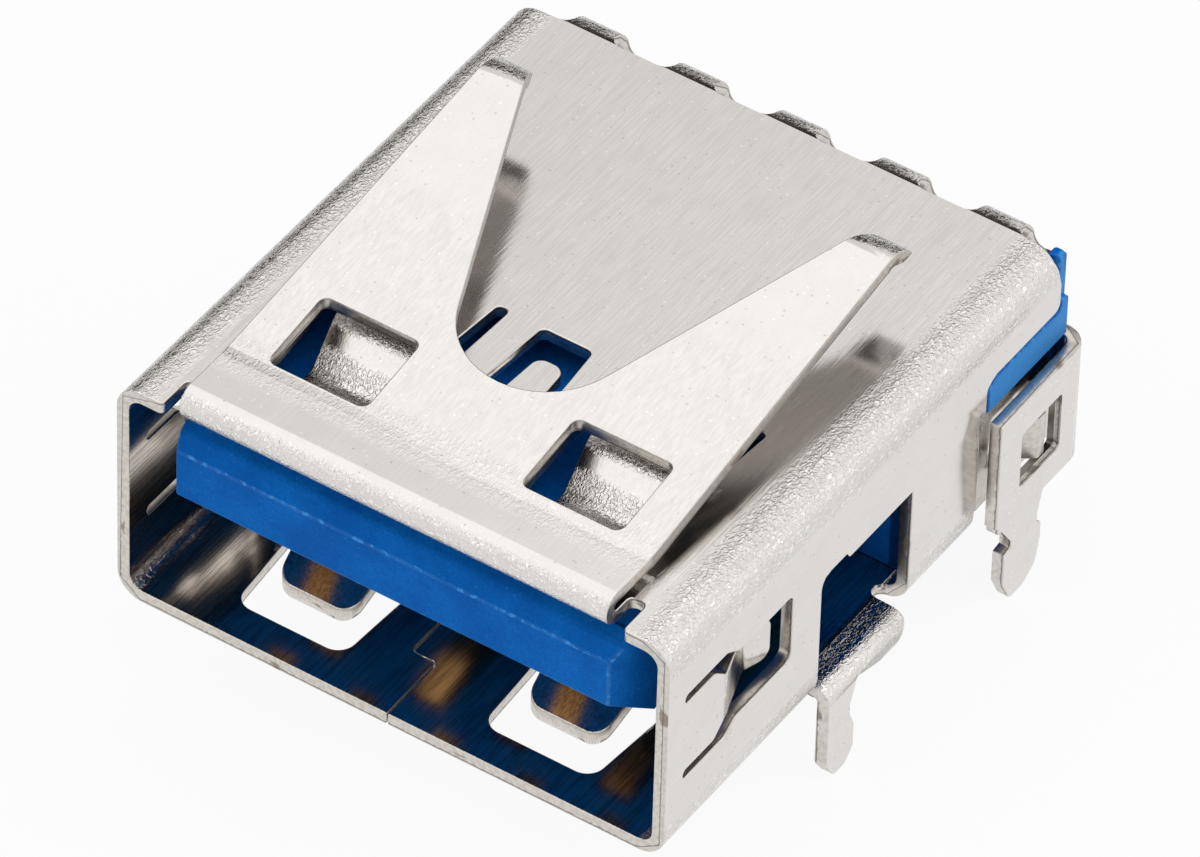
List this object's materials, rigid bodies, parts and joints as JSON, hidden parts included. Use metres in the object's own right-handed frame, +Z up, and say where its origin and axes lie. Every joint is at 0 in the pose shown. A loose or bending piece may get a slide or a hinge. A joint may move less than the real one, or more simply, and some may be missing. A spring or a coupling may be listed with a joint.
{
  "type": "usb-a socket",
  "caption": "Flat shielded board socket: a folded bright metal shell round a blue tongue, with a raised V spring on top, spring fingers and board legs.",
  "frame": {"origin": "middle of the socket's width at the front lip, on the face that lies on the board", "axes": "+X to the right seen from the mouth, +Y from the mouth into the depth, +Z up from the board"},
  "size_m": [0.0138, 0.0147, 0.0097],
  "materials": {
    "shell": "bright nickel-plated steel sheet, lightly brushed",
    "housing": "moulded blue thermoplastic, satin",
    "tail_spacer": "moulded blue thermoplastic, satin",
    "contacts": "plated copper alloy"
  },
  "bodies": {
    "root": {"shell": "shell", "housing": "housing", "tail_spacer": "tail_spacer", "power_contact": "contacts", "data_minus_contact": "contacts", "data_plus_contact": "contacts", "ground_contact": "contacts", "receive_minus_contact": "contacts", "receive_plus_contact": "contacts", "drain_contact": "contacts", "transmit_minus_contact": "contacts", "transmit_plus_contact": "contacts"}
  },
  "joints": []
}
